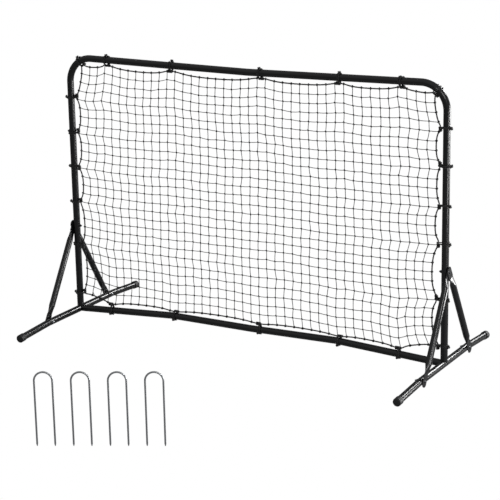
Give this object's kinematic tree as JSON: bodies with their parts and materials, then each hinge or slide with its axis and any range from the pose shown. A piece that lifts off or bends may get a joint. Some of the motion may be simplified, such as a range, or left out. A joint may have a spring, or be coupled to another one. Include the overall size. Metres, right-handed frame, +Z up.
{
  "type": "pitch back rebounder",
  "caption": "Free-standing double-sided ball rebounder: corded net laced into a tubular steel frame on two braced cross feet, with loose U-shaped ground stakes.",
  "frame": {"origin": "on the floor under the middle of the net, midway between the uprights", "axes": "+X along the net, +Y square to it, away from the side where the stakes stand, +Z up"},
  "size_m": [1.8646, 1.9045, 1.2125],
  "materials": {
    "powder_coated_steel": "semi-gloss black powder coat",
    "cap_plastic": "moulded black polyethylene",
    "zinc_plated_fastener": "bright zinc plating",
    "zinc_plated_wire": "zinc-plated drawn wire",
    "net_twine": "braided black polyethylene twine",
    "border_cord": "braided black cord",
    "tie_cord": "braided black elastic cord"
  },
  "bodies": {
    "root": {"border_rope": "border_cord", "bottom_bar_left_inner": "powder_coated_steel", "bottom_bar_left_outer": "powder_coated_steel", "bottom_bar_right_inner": "powder_coated_steel", "bottom_bar_right_outer": "powder_coated_steel", "bottom_ties": "tie_cord", "left_apex_bolt": "zinc_plated_fastener", "left_apex_nut": "zinc_plated_fastener", "left_corner_tube": "powder_coated_steel", "left_foot_stubs": "powder_coated_steel", "left_foot_tube": "powder_coated_steel", "left_front_brace": "powder_coated_steel", "left_front_cap": "cap_plastic", "left_front_foot_bolt": "zinc_plated_fastener", "left_front_foot_nut": "zinc_plated_fastener", "left_rear_brace": "powder_coated_steel", "left_rear_cap": "cap_plastic", "left_rear_foot_bolt": "zinc_plated_fastener", "left_rear_foot_nut": "zinc_plated_fastener", "left_ties": "tie_cord", "left_upright": "powder_coated_steel", "right_apex_bolt": "zinc_plated_fastener", "right_apex_nut": "zinc_plated_fastener", "right_corner_tube": "powder_coated_steel", "right_foot_stubs": "powder_coated_steel", "right_foot_tube": "powder_coated_steel", "right_front_brace": "powder_coated_steel", "right_front_cap": "cap_plastic", "right_front_foot_bolt": "zinc_plated_fastener", "right_front_foot_nut": "zinc_plated_fastener", "right_rear_brace": "powder_coated_steel", "right_rear_cap": "cap_plastic", "right_rear_foot_bolt": "zinc_plated_fastener", "right_rear_foot_nut": "zinc_plated_fastener", "right_ties": "tie_cord", "right_upright": "powder_coated_steel", "top_bar_left": "powder_coated_steel", "top_bar_right": "powder_coated_steel", "top_ties": "tie_cord"},
    "net_sheet": {"net": "net_twine"},
    "stake_1": {"ground_stake_1": "zinc_plated_wire"},
    "stake_2": {"ground_stake_2": "zinc_plated_wire"},
    "stake_3": {"ground_stake_3": "zinc_plated_wire"},
    "stake_4": {"ground_stake_4": "zinc_plated_wire"}
  },
  "joints": [
    {"name": "net_rebound", "type": "slide", "parent": "root", "child": "net_sheet", "axis": [0, 1, 0], "range_m": [-0.12, 0.12], "stiffness_N_per_m": 900},
    {"name": "stake_1_drive", "type": "slide", "parent": "root", "child": "stake_1", "axis": [0, 0, 1], "range_m": [-0.24, 0]},
    {"name": "stake_2_drive", "type": "slide", "parent": "root", "child": "stake_2", "axis": [0, 0, 1], "range_m": [-0.24, 0]},
    {"name": "stake_3_drive", "type": "slide", "parent": "root", "child": "stake_3", "axis": [0, 0, 1], "range_m": [-0.24, 0]},
    {"name": "stake_4_drive", "type": "slide", "parent": "root", "child": "stake_4", "axis": [0, 0, 1], "range_m": [-0.24, 0]}
  ]
}
